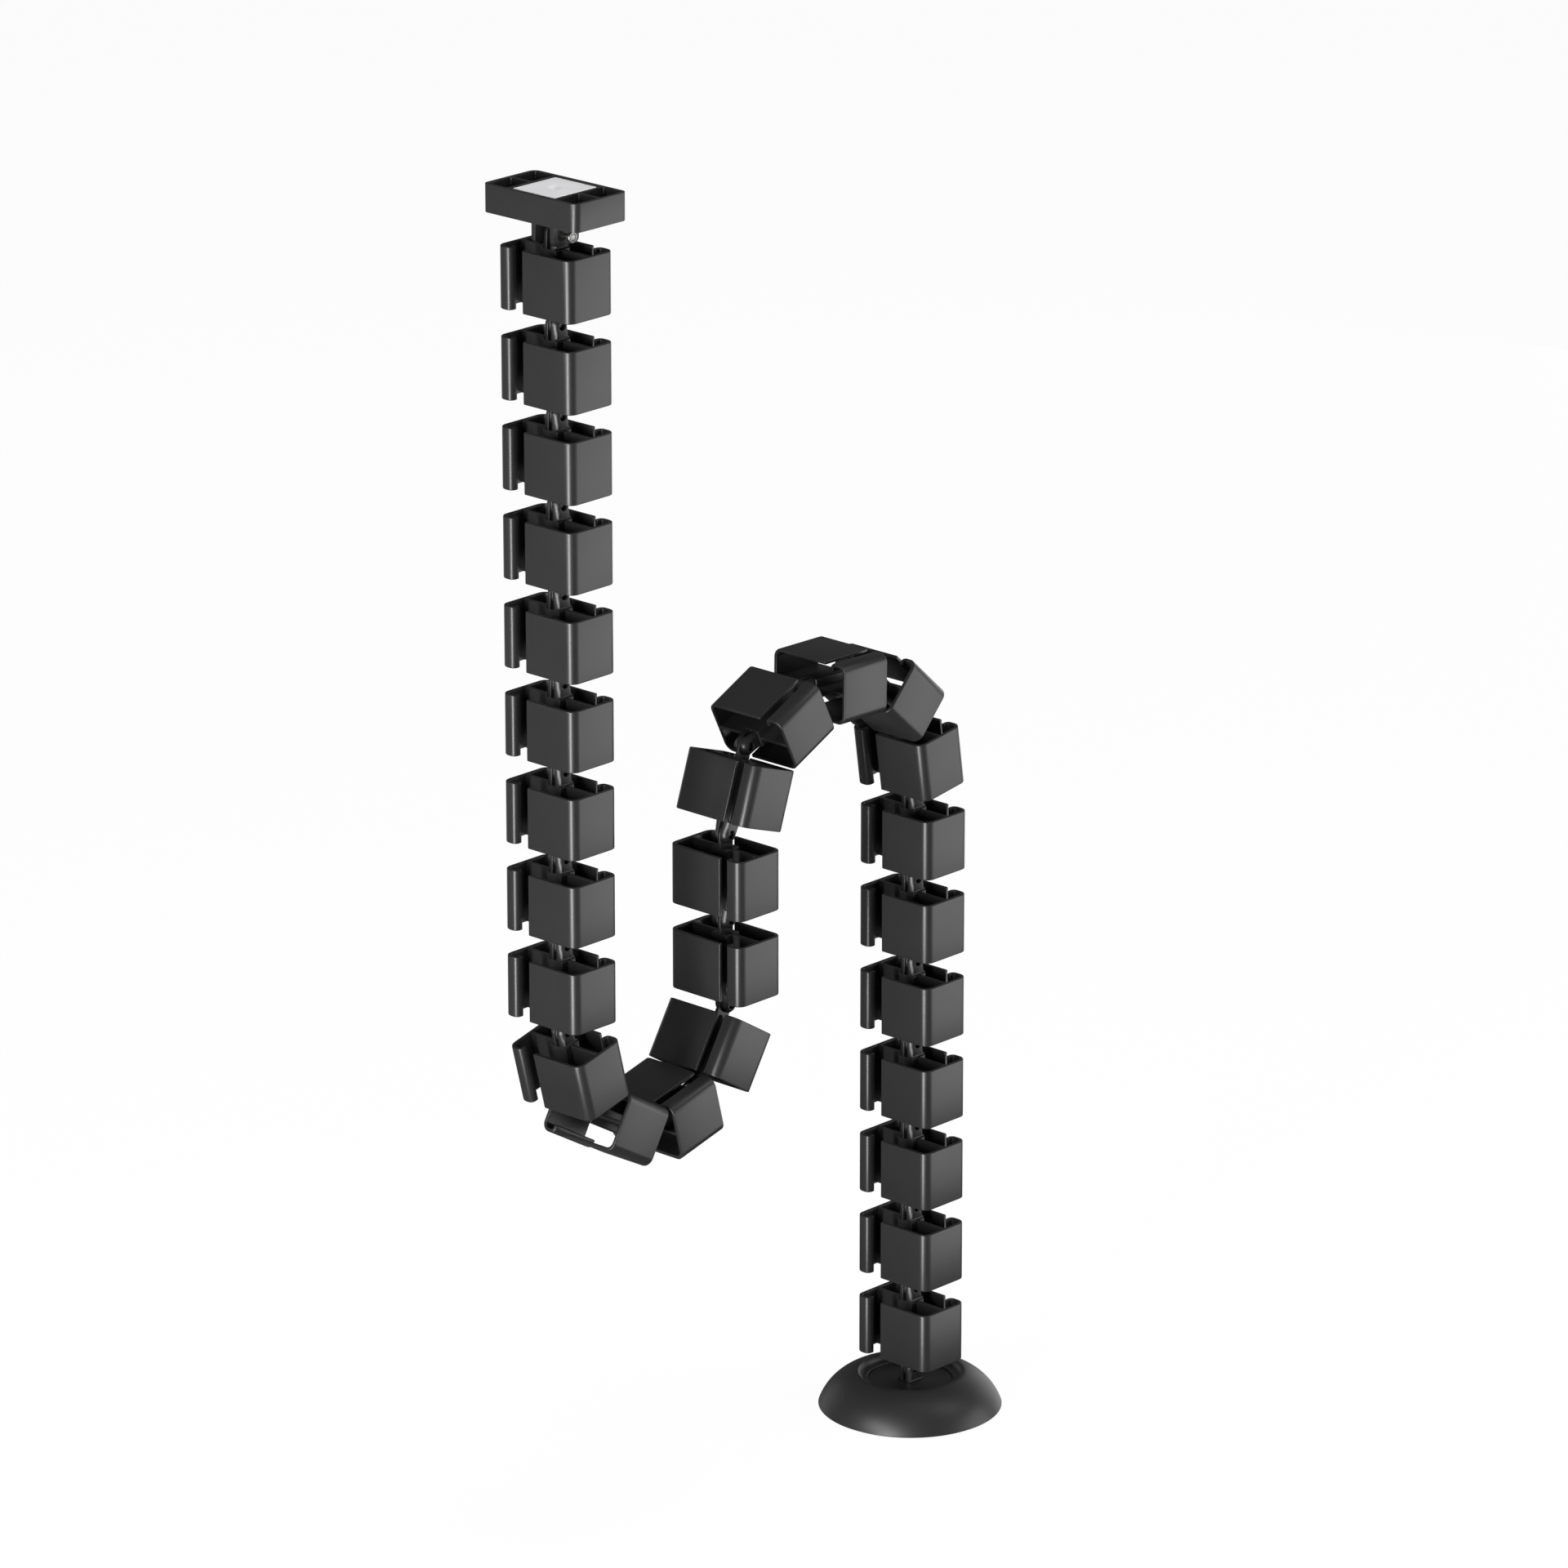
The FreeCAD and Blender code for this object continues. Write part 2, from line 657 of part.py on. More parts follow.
def base_screws():
    """Three screws from below the weight into the hinge plate, as separate solids."""
    body = doc.addObject("PartDesign::Body", "base_screws")
    body.AllowCompound = True
    head_low = s.pad_wall + s.part_gap
    head = screw_cylinder(body, "Pad", "head", s.screw_head_radius, head_low, s.screw_head_height)
    shank_low = head_low + s.screw_head_height
    shank_length = s.hinge_plate_under + s.pilot_depth - s.part_gap - shank_low
    shank = screw_cylinder(body, "Pad", "shank", s.screw_radius, shank_low, shank_length)
    doc.recompute()
    around_base(body, "screws", [head, shank])
    return body


def base_pad():
    """The soft pad that the base stands on."""
    body = doc.addObject("PartDesign::Body", "base_pad")
    disc = sketch_on(body, "pad_outline", "XY_Plane")
    circle(disc, 0.0, 0.0, s.base_radius - s.pad_inset)
    feature(body, "Pad", "pad", disc, s.pad_wall)
    return body


def check_document(parts):
    """Stops if any object failed or any piece isn't a closed, valid solid."""
    failed = [
        f"{o.Name}: {o.getStatusString()}"
        for o in doc.Objects if "Invalid" in o.State or "Error" in o.State
    ]
    if failed:
        raise RuntimeError(f"failed: {failed}")
    for body in parts:
        if body.Shape.isNull() or not body.Shape.isValid() or body.Shape.Volume <= 0:
            raise RuntimeError(f"{body.Label} has no valid solid")


def build():
    """Builds every piece of the cable spine and writes each to its own file."""
    links, last_y, last_z = link_chain(link_moulding())
    mount = [mount_block(), mount_magnet(), mount_pin(), pin_clip(), pin_bush()]
    base = [base_shell(), base_hinge(), base_weight(), base_screws(), base_pad()]
    for body in base:
        place(body, last_y, last_z - s.base_pivot_height)
    parts = mount + links + base
    doc.recompute()
    check_document(parts)
    for body in parts:
        body.Shape.exportStep(f"parts/{body.Label}.step")
        print(f"{body.Label}: {body.Shape.Volume / 1000:.2f} cm3, {len(body.Shape.Solids)} solid(s)")


build()
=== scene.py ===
# %% [markdown]
# # A cable spine
#
# A cable spine hangs under a desk that moves up and down. A magnet holds its mount to the desk
# frame, a chain of hinged links hangs from the mount, and a heavy round base stands on the floor.
# The CAD model gives every piece its place and size. This script gives the pieces their moulded
# edges, their plastic and their metal, and then lights them in a small white studio.

# %% Load the frame
import json
import math

import bmesh
import bpy
import numpy as np
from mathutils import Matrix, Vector


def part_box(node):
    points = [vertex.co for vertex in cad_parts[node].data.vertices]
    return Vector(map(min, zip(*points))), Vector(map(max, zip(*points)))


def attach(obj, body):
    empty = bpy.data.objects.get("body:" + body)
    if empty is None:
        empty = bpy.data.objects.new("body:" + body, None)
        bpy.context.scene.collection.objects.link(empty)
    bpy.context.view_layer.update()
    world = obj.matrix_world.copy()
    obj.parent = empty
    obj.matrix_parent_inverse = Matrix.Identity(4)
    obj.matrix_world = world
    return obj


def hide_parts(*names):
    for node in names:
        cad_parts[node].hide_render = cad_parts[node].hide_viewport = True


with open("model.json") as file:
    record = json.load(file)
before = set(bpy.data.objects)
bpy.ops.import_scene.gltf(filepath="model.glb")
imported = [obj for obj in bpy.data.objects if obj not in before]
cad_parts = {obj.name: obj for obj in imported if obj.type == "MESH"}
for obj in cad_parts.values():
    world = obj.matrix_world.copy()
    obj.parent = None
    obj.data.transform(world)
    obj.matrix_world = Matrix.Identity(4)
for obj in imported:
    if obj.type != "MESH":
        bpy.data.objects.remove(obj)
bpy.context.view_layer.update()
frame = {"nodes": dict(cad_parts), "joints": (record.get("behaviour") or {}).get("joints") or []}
MM = 0.001

# %% [markdown]
# ## Where the links hang
#
# Every link turns about the hinge above it. The record lists the hinges from the mount down to the
# base, so the line from one hinge to the next gives a link's place and its tilt, and nothing is
# measured twice.

# %% Hinges and tilts
HINGES = np.array([joint["pos_m"] for joint in frame["joints"]]) / MM
STEPS = np.diff(HINGES, axis=0)
TILTS = np.arctan2(STEPS[:, 1], -STEPS[:, 2])
PITCH = float(np.linalg.norm(STEPS[0]))
LINK_NAMES = [f"link_{n:02d}" for n in range(1, len(TILTS) + 1)]
print("links:", len(LINK_NAMES), "pitch:", round(PITCH, 2), "mm")


def tilted(points, tilt, hinge):
    """Turns points about the X axis, y' = y cos - z sin and z' = y sin + z cos, and moves them."""
    x, y, z = points.T
    c, s = math.cos(tilt), math.sin(tilt)
    return np.stack([x, y * c - z * s, y * s + z * c], axis=1) + hinge


# %% [markdown]
# ## Surfaces from grids
#
# A moulded part is a few smooth surfaces. Each one here is a grid of points: rows run one way over
# the surface and columns the other, and neighbouring points make the faces. Grids give even faces
# that shade softly, where boxes cut and joined by hand leave uneven ones.

# %% Grids of points
def grid_faces(rows, columns, wrap_rows, wrap_columns, first):
    """Face (i, j) joins points (i, j), (i, j+1), (i+1, j+1) and (i+1, j).

    A wrapped side joins its last points to its first ones.
    """
    i = np.arange(rows if wrap_rows else rows - 1)[:, None]
    j = np.arange(columns if wrap_columns else columns - 1)[None, :]
    i2, j2 = (i + 1) % rows, (j + 1) % columns
    corners = [i * columns + j, i * columns + j2, i2 * columns + j2, i2 * columns + j]
    return (np.stack(corners, axis=-1).reshape(-1, 4) + first).tolist()


class Shell:
    """Collects grids of points, in millimetres, into one mesh."""

    def __init__(self):
        self.points = []
        self.faces = []
        self.count = 0

    def add(self, grid, wrap_rows=False, wrap_columns=False, cap_rows=False):
        """Adds one grid; cap_rows closes its first and last rows with one face each."""
        rows, columns, _ = grid.shape
        first = self.count
        self.faces += grid_faces(rows, columns, wrap_rows, wrap_columns, first)
        if cap_rows:
            start = np.arange(columns) + first
            end = start + (rows - 1) * columns
            self.faces += [start.tolist(), end.tolist()[::-1]]
        self.points.append(grid.reshape(-1, 3))
        self.count += rows * columns
        return self

    def array(self):
        return np.concatenate(self.points)


# %% [markdown]
# ## From points to a piece
#
# The seams where grids close on themselves are merged, so that the surface is one. It is shaded
# smoothly, apart from the edges that turn sharply: those are true edges of the moulding.

# %% Mesh objects
SEAM_GAP = 1e-7
SHARP_DEGREES = 32.0


def add_object(name, data):
    """A new object at the origin, unscaled, in the scene's own collection."""
    made = bpy.data.objects.new(name, data)
    bpy.context.scene.collection.objects.link(made)
    return made


def piece_from(name, points, faces):
    """A mesh object from points in millimetres, with its faces pointing outwards."""
    mesh = bpy.data.meshes.new(name)
    mesh.from_pydata((points * MM).tolist(), [], faces)
    shape = bmesh.new()
    shape.from_mesh(mesh)
    bmesh.ops.remove_doubles(shape, verts=shape.verts, dist=SEAM_GAP)
    bmesh.ops.recalc_face_normals(shape, faces=shape.faces)
    shape.to_mesh(mesh)
    shape.free()
    mesh.shade_smooth()
    mesh.set_sharp_from_angle(angle=math.radians(SHARP_DEGREES))
    return add_object(name, mesh)


# %% [markdown]
# ## A wall with soft edges
#
# The side walls of a link are a band of plastic about 2 mm thick that runs round in plan, curls
# inward at its free end and stops at a slot. Moulded plastic never has a knife edge, and the thin
# bright line along each rim in the light comes from that rounding. So a wall is a rounded rectangle
# carried along a path, and the path comes first.

# %% Paths in plan
CURL_POINTS = 9
CORNER_POINTS = 13
NO_STEP = 1e-6


def straight(start, end, count=2):
    """Evenly spaced points from start to end."""
    t = np.linspace(0.0, 1.0, count)[:, None]
    return np.asarray(start) * (1 - t) + np.asarray(end) * t


def bend(centre, radius, start_degrees, end_degrees, count):
    """Points on a circle: centre + radius (cos a, sin a)."""
    a = np.radians(np.linspace(start_degrees, end_degrees, count))
    return np.asarray(centre) + radius * np.stack([np.cos(a), np.sin(a)], axis=1)


def path_of(*runs):
    """Joins runs into one path and drops points that fall on each other."""
    points = np.concatenate(runs)
    steps = np.linalg.norm(np.diff(points, axis=0), axis=1)
    return points[np.concatenate([[True], steps > NO_STEP])]


# %% [markdown]
# The rim's rounding is a quarter circle with few points, because each of the links carries its own
# copy. The same quarter circle draws the band in at both ends of its path.

# %% Bands along a path
EDGE_POINTS = 5


def softened_ends(path, reach):
    """Adds points near both ends of a path, close together, so that the ends can be rounded."""
    def near_end(end, towards):
        direction = (towards - end) / np.linalg.norm(towards - end)
        s = reach * (1 - np.cos(np.linspace(0, math.pi / 2, EDGE_POINTS)))
        return end + s[:, None] * direction

    start, end = near_end(path[0], path[1]), near_end(path[-1], path[-2])[::-1]
    return np.concatenate([start, path[1:-1], end])


def rounded_section(half_thickness, half_height, radius):
    """The outline of a rounded rectangle: quarter circles about the four inset corners."""
    corners = []
    for k, (sx, sz) in enumerate([(1, 1), (-1, 1), (-1, -1), (1, -1)]):
        a = np.linspace(k * math.pi / 2, (k + 1) * math.pi / 2, EDGE_POINTS)
        corners.append(np.stack([
            sx * (half_thickness - radius) + radius * np.cos(a),
            sz * (half_height - radius) + radius * np.sin(a),
        ], axis=1))
    return np.concatenate(corners)


def band(path, thickness, low, high, radius):
    """Carries a rounded rectangle along a path in plan, and rounds its two ends.

    A point is path(u) + normal(u) * p(v) * shrink(u), at height middle + q(v) * shrink(u). The
    shrink at distance d from an end is 1 - (radius - sqrt(radius^2 - (radius - d)^2)) / half size,
    while d < radius.
    """
    path = softened_ends(path, radius)
    steps = np.linalg.norm(np.diff(path, axis=0), axis=1)
    along = np.concatenate([[0.0], np.cumsum(steps)])
    tangent = np.gradient(path, along, axis=0)
    tangent /= np.linalg.norm(tangent, axis=1)[:, None]
    normal = np.stack([-tangent[:, 1], tangent[:, 0]], axis=1)
    distance = np.minimum(along, along[-1] - along)
    inside = np.clip(radius - distance, 0.0, radius)
    draw_in = radius - np.sqrt(radius**2 - inside**2)
    half_thickness, half_height = thickness / 2, (high - low) / 2
    section = rounded_section(half_thickness, half_height, radius)
    p = section[None, :, 0] * (1 - draw_in / half_thickness)[:, None]
    q = section[None, :, 1] * (1 - draw_in / half_height)[:, None]
    grid = np.empty((len(path), len(section), 3))
    grid[..., 0] = path[:, None, 0] + normal[:, None, 0] * p
    grid[..., 1] = path[:, None, 1] + normal[:, None, 1] * p
    grid[..., 2] = (high + low) / 2 + q
    return grid


# %% [markdown]
# ## The walls of one link
#
# Seen from above, two bands make the box: one from the curled front lip round the left side to the
# back slot, and one from the front slot round the right side to the curled back lip. The slots run
# the whole height of the link, and the lips stand beside them with their ends turned inward. Both
# paths are the middle lines of the walls, half a wall inside the faces.

# %% Link sizes
LINK_HALF_WIDTH = 25.0
LINK_HALF_DEPTH = 16.0
LINK_HEIGHT = 32.0
LINK_WALL = 2.0
LINK_CORNER = 5.0
RIM_TOP = -7.0
RIM_BOTTOM = RIM_TOP - LINK_HEIGHT
RIM_SOFT = 0.55
FRONT_LIP_END = -15.7
FRONT_SLOT = 8.4
BACK_LIP_END = 14.5
BACK_SLOT = 3.5
CURL_RADIUS = 3.0
CURL_RETURN = 1.6
print("link:", 2 * LINK_HALF_WIDTH, "by", 2 * LINK_HALF_DEPTH, "by", LINK_HEIGHT, "mm")

# %% Paths of the walls
HALF_WALL = LINK_WALL / 2
WALL_X, WALL_Y = LINK_HALF_WIDTH - HALF_WALL, LINK_HALF_DEPTH - HALF_WALL
CORNER_X, CORNER_Y = LINK_HALF_WIDTH - LINK_CORNER, LINK_HALF_DEPTH - LINK_CORNER
CORNER_BEND, CURL_BEND = LINK_CORNER - HALF_WALL, CURL_RADIUS - HALF_WALL


def left_wall_path():
    """From the front lip's tip, round the left side, to the back slot."""
    curl = (FRONT_LIP_END - CURL_RADIUS, -LINK_HALF_DEPTH + CURL_RADIUS)
    tip = (FRONT_LIP_END - HALF_WALL, curl[1] + CURL_RETURN)
    return path_of(
        straight(tip, (tip[0], curl[1])),
        bend(curl, CURL_BEND, 0, -90, CURL_POINTS),
        straight((curl[0], -WALL_Y), (-CORNER_X, -WALL_Y)),
        bend((-CORNER_X, -CORNER_Y), CORNER_BEND, 270, 180, CORNER_POINTS),
        straight((-WALL_X, -CORNER_Y), (-WALL_X, CORNER_Y)),
        bend((-CORNER_X, CORNER_Y), CORNER_BEND, 180, 90, CORNER_POINTS),
        straight((-CORNER_X, WALL_Y), (BACK_LIP_END - BACK_SLOT, WALL_Y)),
    )


def right_wall_path():
    """From the front slot, round the right side, to the back lip's tip."""
    curl = (BACK_LIP_END + CURL_RADIUS, LINK_HALF_DEPTH - CURL_RADIUS)
    tip = (BACK_LIP_END + HALF_WALL, curl[1] - CURL_RETURN)
    return path_of(
        straight((FRONT_LIP_END + FRONT_SLOT, -WALL_Y), (CORNER_X, -WALL_Y)),
        bend((CORNER_X, -CORNER_Y), CORNER_BEND, 270, 360, CORNER_POINTS),
        straight((WALL_X, -CORNER_Y), (WALL_X, CORNER_Y)),
        bend((CORNER_X, CORNER_Y), CORNER_BEND, 0, 90, CORNER_POINTS),
        straight((CORNER_X, WALL_Y), (curl[0], WALL_Y)),
        bend(curl, CURL_BEND, 90, 180, CURL_POINTS),
        straight((tip[0], curl[1]), tip),
    )


print("wall paths:", len(left_wall_path()), "and", len(right_wall_path()), "points")

# %% [markdown]
# ## Ears and tongue
#
# Two ears at the top of each link hold the tongue of the link above between them. Round bosses on
# the tongue snap into the eyes of the ears, and that is the whole hinge. Both shapes are plates
# with one round end, so one formula serves: the outline is a half circle above the eye and a
# straight-sided tab below it. A profile of rows carries that outline from one face to the other.

# %% Plates with a round end
TAB_ROUND_POINTS = 24
TAB_SIDE_POINTS = 4
TAB_FOOT_POINTS = 5
NEARLY_ZERO = 1e-9


def tab_reach(a, radius, drop):
    """Distance from the eye to the outline at angle a: radius above, sides and foot below."""
    side = radius / np.maximum(np.abs(np.cos(a)), NEARLY_ZERO)
    foot = drop / np.maximum(-np.sin(a), NEARLY_ZERO)
    return np.where(np.sin(a) >= 0, radius, np.minimum(side, foot))


def tab_angles(radius, drop):
    """Angles round the tab, with one at each foot corner so that the corners stay true."""
    foot, half, whole = math.atan2(drop, radius), math.pi, 2 * math.pi
    return np.concatenate([
        np.linspace(0, half, TAB_ROUND_POINTS, endpoint=False),
        np.linspace(half, half + foot, TAB_SIDE_POINTS, endpoint=False),
        np.linspace(half + foot, whole - foot, TAB_FOOT_POINTS, endpoint=False),
        np.linspace(whole - foot, whole, TAB_SIDE_POINTS, endpoint=False),
    ])


def plate(profile, radius, drop, centre_z, up=True):
    """A plate about the X axis. A profile row (x, share, extra) lies at share * reach + extra."""
    a = tab_angles(radius, drop)
    reach = tab_reach(a, radius, drop)
    x, share, extra = np.asarray(profile, float).T
    distance = share[:, None] * reach[None, :] + extra[:, None]
    rise = distance * np.sin(a) * (1 if up else -1)
    return np.stack([
        np.broadcast_to(x[:, None], distance.shape),
        distance * np.cos(a),
        centre_z + rise,
    ], axis=-1)


# %% [markdown]
# An ear is rounded off widely towards its outer face, so that the pair reads as one rounded post.
# A hole runs through it, with a small chamfer where it opens.

# %% Ears
EAR_GAP = 2.2
EAR_WALL = 3.2
EAR_RADIUS = 4.8
EAR_ROUND = 4.2
EAR_ROUND_DEGREES = (8.0, 58.0)
EAR_EDGE_POINTS = (6, 9, 4)
EDGE_SOFT = 0.4
EYE_RADIUS = 2.3
EYE_CHAMFER = 0.15


def ear_edge():
    """The ear's edge from slot to outer face: a small turn, a wide arc and a small turn again.

    Each is x = r sin a, drop = r (1 - cos a) between its two angles and starts where the one
    before it ends. The small turns have the radius EDGE_SOFT.
    """
    first, last = np.radians(EAR_ROUND_DEGREES)
    stops = (-math.pi / 2, first, last, math.pi / 2)
    radii = (EDGE_SOFT, EAR_ROUND, EDGE_SOFT)
    x, drop, rows = EAR_GAP / 2, EDGE_SOFT, []
    for k, (radius, count) in enumerate(zip(radii, EAR_EDGE_POINTS)):
        a = np.linspace(stops[k], stops[k + 1], count)
        turn_x = x + radius * (np.sin(a) - np.sin(a[0]))
        turn_extra = -drop + radius * (np.cos(a) - np.cos(a[0]))
        rows += [(rx, 1, extra) for rx, extra in zip(turn_x, turn_extra)]
        x, drop = turn_x[-1], -turn_extra[-1]
    return rows


def ear(side, centre_z, drop):
    """One ear with its eye: hole wall, inner face, outer edge and outer face in a closed ring."""
    edge = ear_edge()
    outer = edge[-1][0]
    rows = [(EAR_GAP / 2, 0, EYE_RADIUS)] + edge
    rows += [(outer, 0, EYE_RADIUS + EYE_CHAMFER), (outer - EYE_CHAMFER, 0, EYE_RADIUS)]
    return plate(np.array(rows) * [side, 1, 1], EAR_RADIUS, drop, centre_z)


print("ear:", round(ear_edge()[-1][0] - EAR_GAP / 2, 2), "mm thick")

# %% [markdown]
# The tongue is a thinner plate that hangs down, with a boss on each face. The ends of the bosses
# are rounded widely, which lets the real ones slip over the ears until they snap in.

# %% Tongue
BOSS_RADIUS = 2.22
BOSS_LENGTH = 6.2
BOSS_SOFT = 1.3
TONGUE_WALL = 1.8
TONGUE_SOFT = 0.45
TURN_POINTS = 6


def soft_corner(x, share, extra, radius):
    """Rows of a quarter circle between a flat face and an edge, starting on the flat face."""
    a = np.linspace(0, math.pi / 2, TURN_POINTS)
    rows_x = x - radius * (1 - np.cos(a))
    rows_extra = extra - radius * (1 - np.sin(a))
    return [(rx, share, re) for rx, re in zip(rows_x, rows_extra)]


def tongue(centre_z, drop):
    """The tongue with its two bosses, from the middle of one boss's end to the other's."""
    boss, face = BOSS_LENGTH / 2, TONGUE_WALL / 2
    half = [(boss, 0, 0.0)]
    half += soft_corner(boss, 0, BOSS_RADIUS, BOSS_SOFT)
    half += [(face, 0, BOSS_RADIUS)]
    half += soft_corner(face, 1, 0, TONGUE_SOFT)
    other = [(-x, share, extra) for x, share, extra in half[::-1]]
    return plate(half + other, EAR_RADIUS, drop, centre_z, up=False)


# %% [markdown]
# A fillet joins each ear to what it stands on. It keeps the ear from breaking off and softens the
# light in the corner, and it needs only one straight run. The hidden sides sink a little into
# their neighbours, so that no gap opens between the grids.

# %% Ear roots
EAR_FLARE = 1.0
FLARE_POINTS = 8
FLARE_SINK = 0.5
EAR_SINK = 0.7


def gusset(side, root, half_depth):
    """The fillet beside an ear's root: a quarter circle carried along Y, with its corner."""
    outer = EAR_GAP / 2 + EAR_WALL
    a = np.linspace(0, math.pi / 2, FLARE_POINTS)
    curve_x = outer + EAR_FLARE * (1 - np.sin(a))
    curve_z = root + EAR_FLARE * (1 - np.cos(a))
    x = np.concatenate([[outer - FLARE_SINK], curve_x[::-1], [outer - FLARE_SINK]]) * side
    z = np.concatenate([[root + EAR_FLARE], curve_z[::-1], [root - FLARE_SINK]])
    y = np.array([-half_depth, half_depth])
    return np.stack([
        np.broadcast_to(x, (2, len(x))),
        np.broadcast_to(y[:, None], (2, len(x))),
        np.broadcast_to(z, (2, len(x))),
    ], axis=-1)


def ear_pair(shell, root, centre_z):
    """Two ears and their gussets, standing on the height root."""
    for side in (-1, 1):
        shell.add(ear(side, centre_z, centre_z - root + EAR_SINK),
                  wrap_rows=True, wrap_columns=True)
        shell.add(gusset(side, root, EAR_RADIUS), wrap_columns=True, cap_rows=True)


# %% [markdown]
# ## One link, twenty-seven times
#
# A divider parts the link into a front and a back channel, and the solid hub in the middle of it
# carries the ears and the tongue. All links come from one mould, so the shape is worked out once
# and then turned and moved to each hinge.

# %% Link shape
DIVIDER_WALL = 1.8
DIVIDER_SOFT = 0.4
HUB_SOFT = 0.35
HUB_OVER = 0.06
NUB_RADIUS = 1.3
NUB_HEIGHT = 0.6
NUB_SINK = 0.05
NUB_PLACE = (-12.5, -23.0)
NUB_RINGS, NUB_SIDES = 5, 16


def nub():
    """A low round pip on the divider: height NUB_HEIGHT cos a at distance NUB_RADIUS sin a."""
    a = np.linspace(0, math.pi / 2, NUB_RINGS)
    turn = np.linspace(0, 2 * math.pi, NUB_SIDES, endpoint=False)
    distance = NUB_RADIUS * np.sin(a)
    height = NUB_HEIGHT * np.cos(a) + DIVIDER_WALL / 2 - NUB_SINK
    return np.stack([
        NUB_PLACE[0] + distance[:, None] * np.cos(turn),
        np.broadcast_to(-height[:, None], (NUB_RINGS, NUB_SIDES)),
        NUB_PLACE[1] + distance[:, None] * np.sin(turn),
    ], axis=-1)


def link_shell():
    """All surfaces of one link, its upper hinge axis at the origin."""
    shell = Shell()
    hub_half = EAR_GAP / 2 + EAR_WALL + EAR_FLARE
    hub_depth = (EAR_RADIUS + HUB_OVER) * 2
    for path, thickness, soft in (
        (left_wall_path(), LINK_WALL, RIM_SOFT),
        (right_wall_path(), LINK_WALL, RIM_SOFT),
        (straight((-WALL_X, 0.0), (WALL_X, 0.0), 3), DIVIDER_WALL, DIVIDER_SOFT),
        (straight((-hub_half, 0.0), (hub_half, 0.0), 3), hub_depth, HUB_SOFT),
    ):
        shell.add(band(path, thickness, RIM_BOTTOM, RIM_TOP, soft),
                  wrap_columns=True, cap_rows=True)
    ear_pair(shell, RIM_TOP, 0.0)
    shell.add(tongue(-PITCH, PITCH + RIM_BOTTOM + EAR_FLARE), wrap_columns=True)
    return shell.add(nub(), wrap_columns=True)


LINK = link_shell()
print("one link:", LINK.count, "points,", len(LINK.faces), "faces")

# %% [markdown]
# Each link is a body of its own, because each one can turn on its hinge. So every copy replaces
# its own CAD node and rides on its own body.

# %% Place the links
links = []
for name, tilt, hinge in zip(LINK_NAMES, TILTS, HINGES):
    piece = piece_from(f"{name}_moulding", tilted(LINK.array(), tilt, hinge), LINK.faces)
    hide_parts(name)
    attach(piece, name)
    links.append(piece)
print("links placed:", len(links), "faces each:", len(links[0].data.polygons))

# %% [markdown]
# ## Turned pieces
#
# The mount's hinge pin, the domed base and the plate in its recess are round. A profile of
# distances and heights is turned about an axis, and small arcs in the profile take the sharpness
# off the edges.

# %% Turning a profile
def rounded_profile(corners):
    """Rounds the corners of a profile, each given as (distance, height, radius).

    The curve is the quadratic (1-t)^2 A + 2t(1-t) B + t^2 C. It touches both edges at that radius
    from the corner.
    """
    corners = np.asarray(corners, float)
    t = np.linspace(0, 1, EDGE_POINTS)[:, None]
    rows = []
    for k, corner in enumerate(corners):
        here, radius = corner[:2], corner[2]
        if radius == 0 or k in (0, len(corners) - 1):
            rows.append(here[None, :])
            continue
        before, after = corners[k - 1, :2] - here, corners[k + 1, :2] - here
        first = here + before / np.linalg.norm(before) * radius
        last = here + after / np.linalg.norm(after) * radius
        rows.append((1 - t) ** 2 * first + 2 * t * (1 - t) * here + t**2 * last)
    return np.concatenate(rows)


def turned(profile, centre, axis, count):
    """Turns rows (distance, height) about the Z axis or the X axis through the centre."""
    a = np.linspace(0, 2 * math.pi, count, endpoint=False)
    distance, height = profile[:, 0][:, None], profile[:, 1][:, None]
    across, over = distance * np.cos(a), distance * np.sin(a)
    along = np.broadcast_to(height, across.shape)
    parts = [along, across, over] if axis == "X" else [across, over, along]
    return np.stack(parts, axis=-1) + np.asarray(centre)


def turned_piece(name, profile, centre, axis, count, node, body, closed=False):
    """A turned piece that stands for a CAD node."""
    shell = Shell()
    shell.add(turned(profile, centre, axis, count), wrap_rows=closed, wrap_columns=True)
    piece = piece_from(name, shell.array(), shell.faces)
    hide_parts(node)
    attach(piece, body)
    return piece


# %% [markdown]
# ## The hinge pin of the mount
#
# The first link hangs on a steel pin with a flat head. A ring is pressed into the head's face,
# which catches the light as a thin bright circle.

# %% Hinge pin
PIN_SIDES = 48
PIN_RADIUS = 1.5
HEAD_RADIUS = 2.9
HEAD_HEIGHT = 1.9
RING_OUTER = 1.95
RING_INNER = 1.65
RING_SLOPE = 0.05
RING_DEPTH = 0.35

pin_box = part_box("mount_pin")
pin_left, pin_right = pin_box[0].x / MM, pin_box[1].x / MM
head_back, ring_floor = pin_right - HEAD_HEIGHT, pin_right - RING_DEPTH
pin_profile = rounded_profile([
    (0, pin_left, 0),
    (PIN_RADIUS, pin_left, 0.3),
    (PIN_RADIUS, head_back, 0),
    (HEAD_RADIUS, head_back, 0.25),
    (HEAD_RADIUS, pin_right, 0.45),
    (RING_OUTER, pin_right, 0.12),
    (RING_OUTER - RING_SLOPE, ring_floor, 0.1),
    (RING_INNER + RING_SLOPE, ring_floor, 0.1),
    (RING_INNER, pin_right - RING_SLOPE, 0.15),
    (0, pin_right, 0),
])
pin = turned_piece("hinge_pin", pin_profile, HINGES[0], "X", PIN_SIDES, "mount_pin", "mount")
print("pin:", round(pin_right - pin_left, 2), "mm long")

